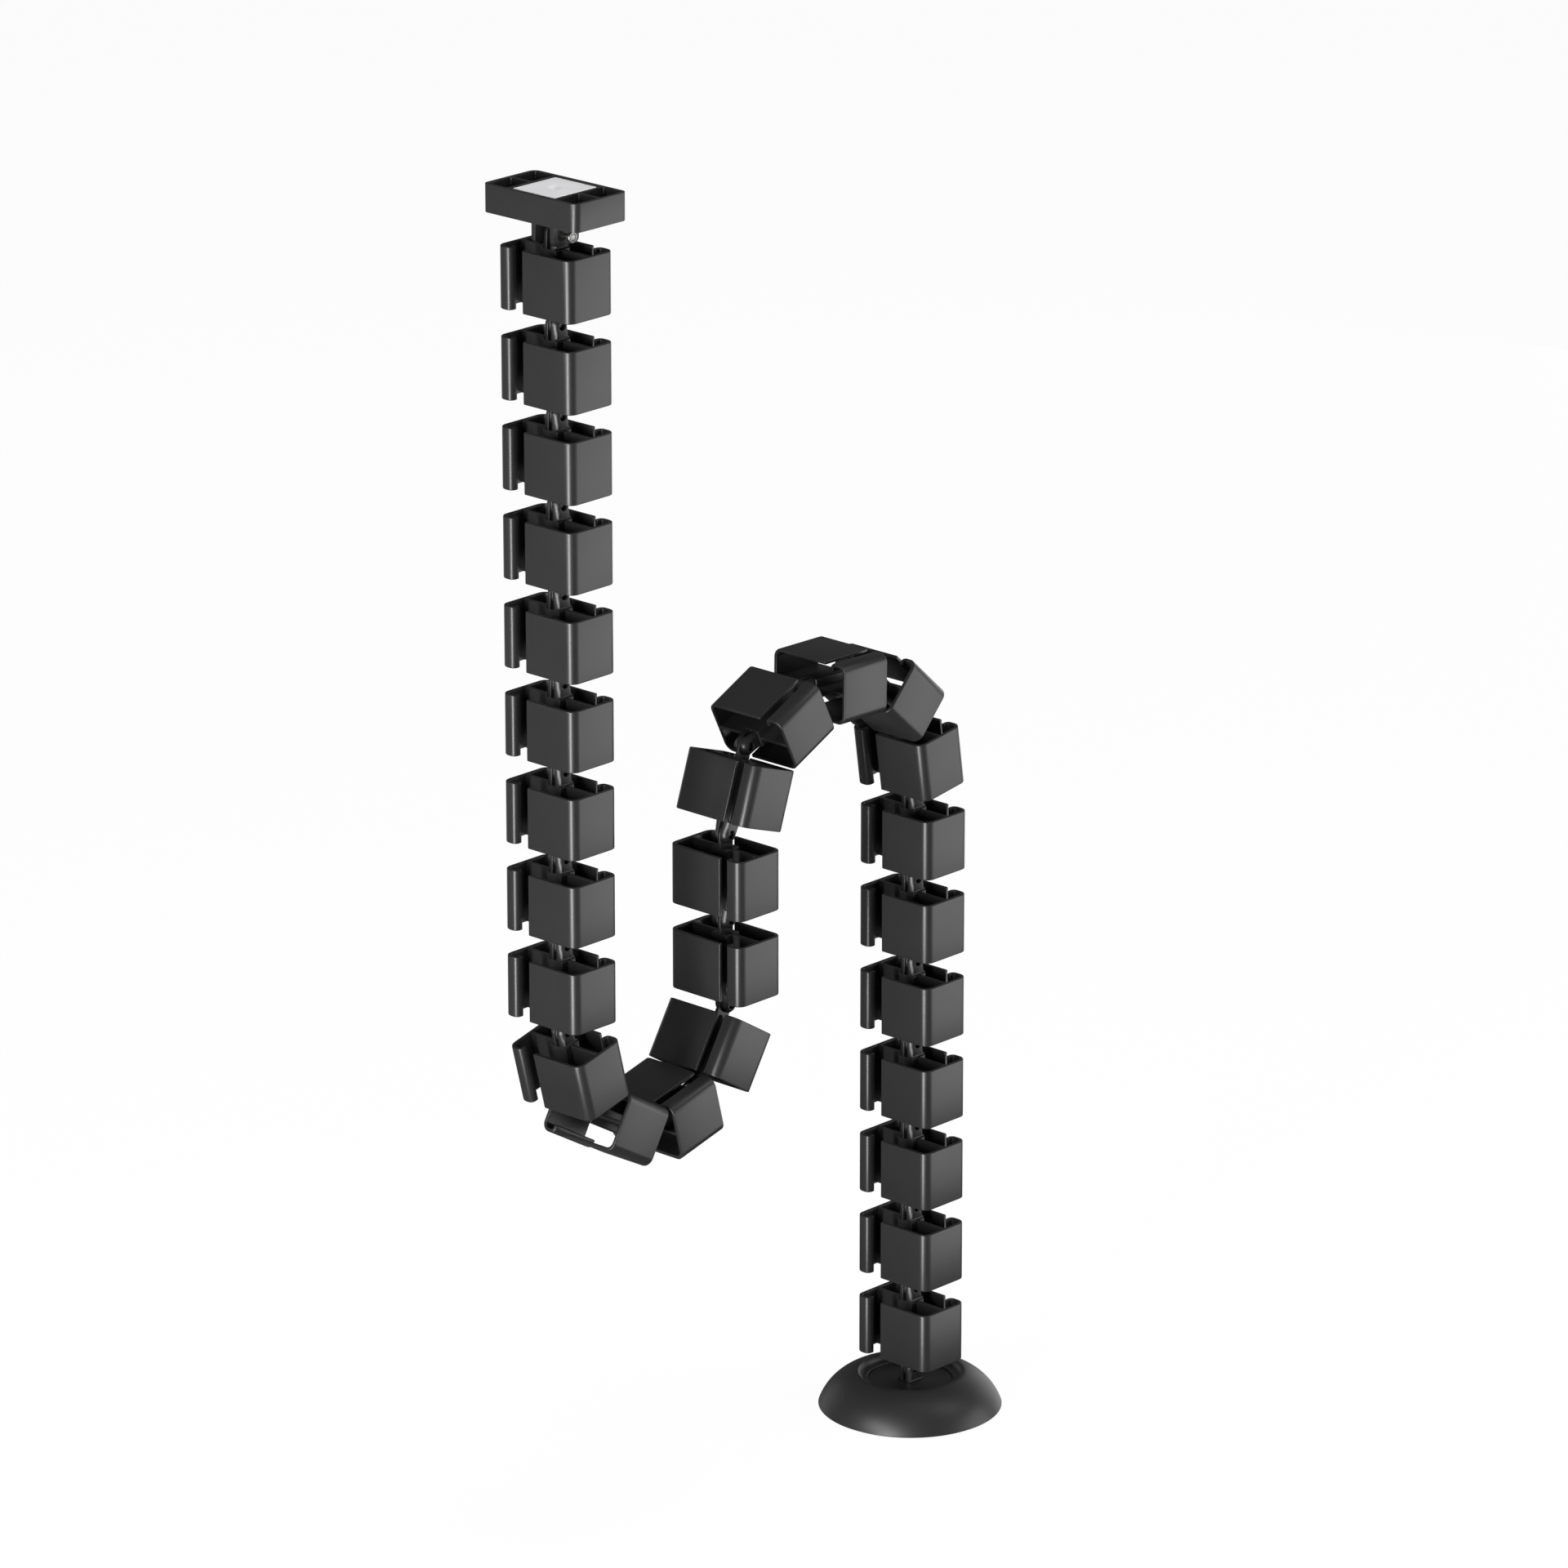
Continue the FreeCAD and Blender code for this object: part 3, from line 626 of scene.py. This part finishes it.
# %% [markdown]
# ## The base
#
# The base is a thin black dome over a steel weight, with a recess in the middle where the last
# link stands. In the light the dome shows one broad soft gleam, so its profile has to be a true
# curve. The long outer curve is an arc, and the crest and the edge of the recess are small
# rounded corners.

# %% Dome
BASE_CENTRE = np.array([0.0, HINGES[-1][1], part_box("base_pad")[0].z / MM])
DOME_SIDES = 144
DOME_ARC = 29.0
DOME_ARC_POINTS = 28
FOOT = (49.0, 1.4)
CREST_OUTER = (29.0, 19.7)
CREST_INNER = (27.4, 19.7)
RECESS_RADIUS = 25.7
RECESS_FLOOR = 16.2
WELL_RADIUS = 22.7
DOME_INSIDE = 12.0
FLAT_INSIDE = 35.7
RIM_INSIDE = 46.6
RIM_UNDER = 1.0


def arc_rows(start, end, radius, count):
    """Points on the circle of this radius from start to end, with its centre below the chord."""
    start, end = np.asarray(start, float), np.asarray(end, float)
    chord = end - start
    length = np.linalg.norm(chord)
    side = np.array([-chord[1], chord[0]]) / length
    centre = (start + end) / 2 + side * math.sqrt(radius**2 - (length / 2) ** 2)
    a0 = math.atan2(*(start - centre)[::-1])
    a1 = math.atan2(*(end - centre)[::-1])
    a = np.linspace(a0, a1, count)
    return centre + radius * np.stack([np.cos(a), np.sin(a)], axis=1)


dome_curve = arc_rows(FOOT, CREST_OUTER, DOME_ARC, DOME_ARC_POINTS)
dome_rim = rounded_profile([
    (*CREST_OUTER, 0),
    (*CREST_INNER, 1.1),
    (RECESS_RADIUS, RECESS_FLOOR + 1.0, 0.7),
    (RECESS_RADIUS, RECESS_FLOOR, 0.25),
    (WELL_RADIUS + 0.05, RECESS_FLOOR, 0.4),
    (WELL_RADIUS, DOME_INSIDE, 0),
    (FLAT_INSIDE, DOME_INSIDE, 0.3),
    (RIM_INSIDE, 3.4, 0.5),
    (RIM_INSIDE, RIM_UNDER, 0),
    (FOOT[0] - 0.4, RIM_UNDER, 0.3),
    (*FOOT, 0),
])
dome_profile = np.concatenate([dome_curve, dome_rim[1:-1]])
dome = turned_piece("base_dome", dome_profile, BASE_CENTRE, "Z", DOME_SIDES,
                    "base_shell", "base", closed=True)
print("dome:", len(dome.data.polygons), "faces")

# %% [markdown]
# The last hinge's ears stand on a round plate of their own, which lies in the dome's recess. It is
# a separate moulding, so its seam shows as a fine ring.

# %% Hinge plate in the recess
PLATE_SIDES = 96
PLATE_RADIUS = 22.6
PLATE_LOW, PLATE_TOP = 12.0, 15.0
BASE_HINGE_HEIGHT = 22.0
plate_shell = Shell()
plate_profile = rounded_profile([
    (0, PLATE_LOW, 0),
    (PLATE_RADIUS, PLATE_LOW, 0.2),
    (PLATE_RADIUS, PLATE_TOP, 0.5),
    (0, PLATE_TOP, 0),
])
plate_shell.add(turned(plate_profile, (0, 0, 0), "Z", PLATE_SIDES), wrap_columns=True)
ear_pair(plate_shell, PLATE_TOP, BASE_HINGE_HEIGHT)
hinge_plate = piece_from(
    "base_hinge_plate", plate_shell.array() + BASE_CENTRE, plate_shell.faces)
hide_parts("base_hinge")
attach(hinge_plate, "base")
print("hinge plate:", len(hinge_plate.data.polygons), "faces")

# %% [markdown]
# ## Softened CAD pieces
#
# The mount block and its magnet have flat faces and pockets that the CAD model already holds
# exactly. A copy is merged into whole faces and gets a small bevel on every true edge, which is
# how such parts leave a mould or a press. The copy is shown in the CAD piece's place.

# %% Bevelled copies
CAD_SEAM_GAP = 2e-6
FLAT_DEGREES = 1.0
BEVEL_SEGMENTS = 4
BLOCK_EDGE = 0.45
LUG_EDGE = 1.2
LUG_EDGE_BELOW = -14.3
MAGNET_EDGE = 0.12


def softened(node, body, name, width, low_width=0.0, low_height=0.0):
    """A copy of a node with its flat faces joined again and its edges bevelled by width.

    Edges that lie below low_height get low_width instead, if that is given. All in millimetres.
    """
    mesh = frame["nodes"][node].data.copy()
    shape = bmesh.new()
    shape.from_mesh(mesh)
    bmesh.ops.remove_doubles(shape, verts=shape.verts, dist=CAD_SEAM_GAP)
    bmesh.ops.dissolve_limit(shape, angle_limit=math.radians(FLAT_DEGREES),
                             verts=shape.verts, edges=shape.edges)
    weights = shape.edges.layers.float.new("bevel_weight_edge")
    widest = max(width, low_width)
    for edge in shape.edges:
        if len(edge.link_faces) == 2 and edge.calc_face_angle() > math.radians(SHARP_DEGREES):
            low = low_width and all(v.co.z < low_height * MM for v in edge.verts)
            edge[weights] = (low_width if low else width) / widest
    shape.to_mesh(mesh)
    shape.free()
    piece = add_object(name, mesh)
    bevel = piece.modifiers.new("moulded edge", "BEVEL")
    bevel.width = widest * MM
    bevel.segments = BEVEL_SEGMENTS
    bevel.limit_method = "WEIGHT"
    bevel.harden_normals = True
    mesh.shade_smooth()
    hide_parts(node)
    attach(piece, body)
    return piece


block = softened("mount_block", "mount", "desk_mount_block",
                 BLOCK_EDGE, LUG_EDGE, LUG_EDGE_BELOW)
magnet = softened("mount_magnet", "mount", "desk_mount_magnet", MAGNET_EDGE)
print("mount:", len(block.data.polygons), "and", len(magnet.data.polygons), "faces")

# %% [markdown]
# ## Shared effects
#
# Moulded plastic has a very fine spark-eroded grain, and every finish is a little uneven in gloss
# where it was handled. More than one material uses both, so each is a node group with named
# inputs.

# %% Grain
GRAIN_DETAIL = 3.0
GLOSS_DETAIL = 4.0


def new_group(name, inputs, outputs):
    """An empty shader group; returns it with its input and output nodes."""
    group = bpy.data.node_groups.new(name, "ShaderNodeTree")
    for socket, kind, default in inputs:
        made = group.interface.new_socket(socket, in_out="INPUT", socket_type=kind)
        if default is not None:
            made.default_value = default
    for socket, kind in outputs:
        group.interface.new_socket(socket, in_out="OUTPUT", socket_type=kind)
    return group, group.nodes.new("NodeGroupInput"), group.nodes.new("NodeGroupOutput")


def moulded_grain():
    """Height = fine noise * share + coarse noise * (1 - share), each at its own scale."""
    group, given, result = new_group(
        "Moulded grain",
        [("Vector", "NodeSocketVector", None), ("Fine scale", "NodeSocketFloat", 2600.0),
         ("Coarse scale", "NodeSocketFloat", 260.0), ("Fine share", "NodeSocketFloat", 0.7)],
        [("Height", "NodeSocketFloat")])
    nodes, link = group.nodes, group.links.new
    fine = nodes.new("ShaderNodeTexNoise")
    coarse = nodes.new("ShaderNodeTexNoise")
    mix = nodes.new("ShaderNodeMix")
    for noise, scale in ((fine, "Fine scale"), (coarse, "Coarse scale")):
        noise.inputs["Detail"].default_value = GRAIN_DETAIL
        link(given.outputs["Vector"], noise.inputs["Vector"])
        link(given.outputs[scale], noise.inputs["Scale"])
    link(given.outputs["Fine share"], mix.inputs["Factor"])
    link(coarse.outputs["Fac"], mix.inputs["A"])
    link(fine.outputs["Fac"], mix.inputs["B"])
    link(mix.outputs["Result"], result.inputs["Height"])
    return group


# %% Gloss
def handled_gloss():
    """Roughness = middle + spread * (noise - 0.5), so broad areas are duller or glossier."""
    group, given, result = new_group(
        "Handled gloss",
        [("Vector", "NodeSocketVector", None), ("Scale", "NodeSocketFloat", 40.0),
         ("Roughness", "NodeSocketFloat", 0.45), ("Spread", "NodeSocketFloat", 0.12)],
        [("Roughness", "NodeSocketFloat"), ("Patches", "NodeSocketFloat")])
    nodes, link = group.nodes, group.links.new
    noise = nodes.new("ShaderNodeTexNoise")
    centred = nodes.new("ShaderNodeMath")
    scaled = nodes.new("ShaderNodeMath")
    total = nodes.new("ShaderNodeMath")
    noise.inputs["Detail"].default_value = GLOSS_DETAIL
    centred.operation, centred.inputs[1].default_value = "SUBTRACT", 0.5
    scaled.operation, total.operation = "MULTIPLY", "ADD"
    link(given.outputs["Vector"], noise.inputs["Vector"])
    link(given.outputs["Scale"], noise.inputs["Scale"])
    link(noise.outputs["Fac"], centred.inputs[0])
    link(centred.outputs["Value"], scaled.inputs[0])
    link(given.outputs["Spread"], scaled.inputs[1])
    link(scaled.outputs["Value"], total.inputs[0])
    link(given.outputs["Roughness"], total.inputs[1])
    link(total.outputs["Value"], result.inputs["Roughness"])
    link(noise.outputs["Fac"], result.inputs["Patches"])
    return group


GRAIN = moulded_grain()
GLOSS = handled_gloss()
print("groups:", GRAIN.name, "and", GLOSS.name)

# %% [markdown]
# ## Materials
#
# The links, the mount and the base are satin black plastic, and the base's gloss is a little
# softer, which spreads its gleam. The magnet is nickel-plated and looks pale and soft, and the pin
# is plain steel. The weight, the screws and the pad are hardly ever seen, but a part that is
# looked at from all sides needs them finished too. One function makes them all, so they differ
# only in numbers that can be compared.

# %% Material builder
BUMP_DISTANCE = 0.0001


def finish(name, colour, patch_colour, gloss, grain, bump, metallic=0.0, specular=0.5):
    """A material: patches mix two close colours, gloss sets the roughness, grain feeds a bump."""
    material = bpy.data.materials.new(name)
    material.use_nodes = True
    nodes, link = material.node_tree.nodes, material.node_tree.links.new
    surface = nodes["Principled BSDF"]
    surface.inputs["Metallic"].default_value = metallic
    surface.inputs["Specular IOR Level"].default_value = specular
    place = nodes.new("ShaderNodeTexCoord")
    gloss_node = nodes.new("ShaderNodeGroup")
    gloss_node.node_tree = GLOSS
    grain_node = nodes.new("ShaderNodeGroup")
    grain_node.node_tree = GRAIN
    for node, values in ((gloss_node, gloss), (grain_node, grain)):
        link(place.outputs["Object"], node.inputs["Vector"])
        for socket, value in values.items():
            node.inputs[socket].default_value = value
    colours = nodes.new("ShaderNodeMix")
    colours.data_type = "RGBA"
    colours.inputs["A"].default_value = (*colour, 1.0)
    colours.inputs["B"].default_value = (*patch_colour, 1.0)
    link(gloss_node.outputs["Patches"], colours.inputs["Factor"])
    link(colours.outputs["Result"], surface.inputs["Base Color"])
    link(gloss_node.outputs["Roughness"], surface.inputs["Roughness"])
    relief = nodes.new("ShaderNodeBump")
    relief.inputs["Strength"].default_value = bump
    relief.inputs["Distance"].default_value = BUMP_DISTANCE
    link(grain_node.outputs["Height"], relief.inputs["Height"])
    link(relief.outputs["Normal"], surface.inputs["Normal"])
    return material


# %% Materials
black_plastic = finish(
    "satin black plastic", (0.010, 0.010, 0.0105), (0.014, 0.014, 0.015),
    {"Scale": 35.0, "Roughness": 0.36, "Spread": 0.08},
    {"Fine scale": 2400.0, "Coarse scale": 300.0, "Fine share": 0.92}, bump=0.13)
dome_plastic = finish(
    "smooth black plastic", (0.009, 0.009, 0.0095), (0.013, 0.013, 0.014),
    {"Scale": 22.0, "Roughness": 0.41, "Spread": 0.07},
    {"Fine scale": 3000.0, "Coarse scale": 200.0, "Fine share": 0.92}, bump=0.10)
nickel = finish(
    "nickel plate", (0.66, 0.66, 0.67), (0.72, 0.72, 0.73),
    {"Scale": 120.0, "Roughness": 0.46, "Spread": 0.14},
    {"Fine scale": 1800.0, "Coarse scale": 150.0, "Fine share": 0.6}, bump=0.12, metallic=0.3)
dull_steel = finish(
    "dull steel", (0.24, 0.24, 0.24), (0.31, 0.31, 0.30),
    {"Scale": 300.0, "Roughness": 0.36, "Spread": 0.12},
    {"Fine scale": 2500.0, "Coarse scale": 600.0, "Fine share": 0.5}, bump=0.10, metallic=1.0)
cast_weight = finish(
    "zinc-plated weight", (0.34, 0.34, 0.35), (0.42, 0.42, 0.42),
    {"Scale": 60.0, "Roughness": 0.40, "Spread": 0.18},
    {"Fine scale": 900.0, "Coarse scale": 120.0, "Fine share": 0.5}, bump=0.25, metallic=0.9)
pad_foam = finish(
    "pad foam", (0.030, 0.030, 0.032), (0.045, 0.045, 0.047),
    {"Scale": 90.0, "Roughness": 0.85, "Spread": 0.10},
    {"Fine scale": 1600.0, "Coarse scale": 500.0, "Fine share": 0.4}, bump=0.70, specular=0.25)

DRESSED = [
    (black_plastic, links + [block, hinge_plate]),
    (dome_plastic, [dome]),
    (nickel, [magnet]),
    (dull_steel, [pin, frame["nodes"]["pin_clip"], frame["nodes"]["base_screws"]]),
    (black_plastic, [frame["nodes"]["pin_bush"]]),
    (cast_weight, [frame["nodes"]["base_weight"]]),
    (pad_foam, [frame["nodes"]["base_pad"]]),
]
for material, objects in DRESSED:
    for item in objects:
        item.data.materials.clear()
        item.data.materials.append(material)
print("materials:", len(bpy.data.materials))

# %% [markdown]
# ## A white studio
#
# The floor is one wide pale sheet that runs out of view, so the object stands in front of nothing
# but white. What the camera sees of the sheet is kept near white, while the lamps stay at a plain
# level. Upright faces seen from above reflect what lies below level, so the lamps have to reach
# below the floor, and the sheet lets reflections and lamplight through.

# %% Floor
FLOOR_HEIGHT = BASE_CENTRE[2] * MM
FLOOR_HALF = 14.0
PAPER_GREY = 0.86
PAPER_GLOW = 1.0
PAPER_GLOW_SHARE = 0.96


def floor_sheet():
    """A single square face at the floor's height."""
    mesh = bpy.data.meshes.new("floor")
    corners = [(x * FLOOR_HALF, y * FLOOR_HALF, FLOOR_HEIGHT)
               for x, y in ((-1, -1), (1, -1), (1, 1), (-1, 1))]
    mesh.from_pydata(corners, [], [(0, 1, 2, 3)])
    return add_object("floor", mesh)


def studio_white(name):
    """White paper: diffuse, with a plain glow mixed in for what the camera sees directly.

    Glossy rays and shadow rays pass through it.
    """
    material = bpy.data.materials.new(name)
    material.use_nodes = True
    nodes, link = material.node_tree.nodes, material.node_tree.links.new
    nodes.clear()
    paper = nodes.new("ShaderNodeBsdfDiffuse")
    paper.inputs["Color"].default_value = (PAPER_GREY, PAPER_GREY, PAPER_GREY, 1.0)
    glow = nodes.new("ShaderNodeEmission")
    glow.inputs["Strength"].default_value = PAPER_GLOW
    clear = nodes.new("ShaderNodeBsdfTransparent")
    rays = nodes.new("ShaderNodeLightPath")
    amount = nodes.new("ShaderNodeMath")
    amount.operation = "MULTIPLY"
    amount.inputs[1].default_value = PAPER_GLOW_SHARE
    open_to = nodes.new("ShaderNodeMath")
    open_to.operation = "MAXIMUM"
    seen = nodes.new("ShaderNodeMixShader")
    sheet = nodes.new("ShaderNodeMixShader")
    out = nodes.new("ShaderNodeOutputMaterial")
    link(rays.outputs["Is Camera Ray"], amount.inputs[0])
    link(amount.outputs["Value"], seen.inputs["Fac"])
    link(paper.outputs["BSDF"], seen.inputs[1])
    link(glow.outputs["Emission"], seen.inputs[2])
    link(rays.outputs["Is Glossy Ray"], open_to.inputs[0])
    link(rays.outputs["Is Shadow Ray"], open_to.inputs[1])
    link(open_to.outputs["Value"], sheet.inputs["Fac"])
    link(seen.outputs["Shader"], sheet.inputs[1])
    link(clear.outputs["BSDF"], sheet.inputs[2])
    link(sheet.outputs["Shader"], out.inputs["Surface"])
    return material


floor = floor_sheet()
floor.data.materials.append(studio_white("studio paper"))
print("floor at", round(FLOOR_HEIGHT, 4), "m")

# %% [markdown]
# ## Lamps
#
# Black plastic shows little but reflections, so each lamp is placed for what reflects it: a narrow
# strip for the bright line down the rounded front corners, softboxes round the sides for the flat
# faces, and two raised ones for the gleams on the dome. The camera doesn't see them. The lamp
# above is there for the pale magnet. It is left out of reflections, so that the black faces which
# look up stay dark.

# %% Lamps and world
LAMP_TARGET = np.array([0.0, 0.13, -0.36])
LAMPS = [
    # name, turn, rise, distance, (width, height), power
    ("front strip", -72.0, -10.0, 1.65, (0.22, 1.5), 44.0),
    ("back right softbox", 47.0, -6.0, 1.8, (1.2, 1.5), 14.5),
    ("left fill", -133.0, -12.0, 2.0, (1.2, 1.4), 1.1),
    ("front softbox", -92.0, 20.0, 1.6, (0.75, 0.40), 11.0),
    ("high softbox", 40.0, 48.0, 1.8, (0.8, 0.8), 3.6),
    ("right softbox", 16.0, -4.0, 2.0, (0.7, 1.5), 2.6),
    ("back softbox", 100.0, -4.0, 2.2, (1.4, 1.6), 9.0),
    ("left softbox", 175.0, -4.0, 2.2, (1.2, 1.6), 3.0),
    ("top softbox", 20.0, 80.0, 2.2, (1.0, 1.0), 46.0),
]
NOT_REFLECTED = "top softbox"
WORLD_STRENGTH = 0.10


def soft_lamp(name, turn, rise, distance, size, power):
    """A rectangular lamp that faces the object.

    The turn is in degrees from +X and the rise in degrees above level; it stands at
    target + distance (cos turn cos rise, sin turn cos rise, sin rise).
    """
    data = bpy.data.lights.new(name, "AREA")
    data.shape = "RECTANGLE"
    data.size, data.size_y = size
    data.energy = power
    turn, rise = math.radians(turn), math.radians(rise)
    level = math.cos(rise)
    away = np.array([math.cos(turn) * level, math.sin(turn) * level, math.sin(rise)])
    lamp = add_object(name, data)
    lamp.location = LAMP_TARGET + away * distance
    lamp.rotation_euler = Vector(away).to_track_quat("Z", "Y").to_euler()
    lamp.visible_camera = False
    lamp.visible_glossy = name != NOT_REFLECTED


for lamp_settings in LAMPS:
    soft_lamp(*lamp_settings)

world = bpy.data.worlds.new("studio")
world.use_nodes = True
bpy.context.scene.world = world
sky = world.node_tree.nodes["Background"]
sky.inputs["Color"].default_value = (1.0, 1.0, 1.0, 1.0)
sky.inputs["Strength"].default_value = WORLD_STRENGTH

# %% [markdown]
# ## The camera
#
# The photograph was taken from far away with a long lens, from the right and a little above. The
# upright edges stay almost parallel in it, so the camera stands more than four metres off.

# %% Camera
CAMERA_PLACE = (2.88312, -2.93225, 1.06108)
CAMERA_TURN = 42.96
CAMERA_RISE = 18.40
FOCAL_LENGTH = 199.6
SENSOR_WIDTH = 36.0
CLIP_END = 100.0
camera_data = bpy.data.cameras.new("camera")
camera_data.sensor_width = SENSOR_WIDTH
camera_data.lens = FOCAL_LENGTH
camera_data.clip_end = CLIP_END
camera = add_object("camera", camera_data)
camera.location = CAMERA_PLACE
camera.rotation_euler = (math.radians(90 - CAMERA_RISE), 0.0, math.radians(CAMERA_TURN))
bpy.context.scene.camera = camera
bpy.context.scene.view_settings.view_transform = "Standard"
print("camera:", CAMERA_PLACE)
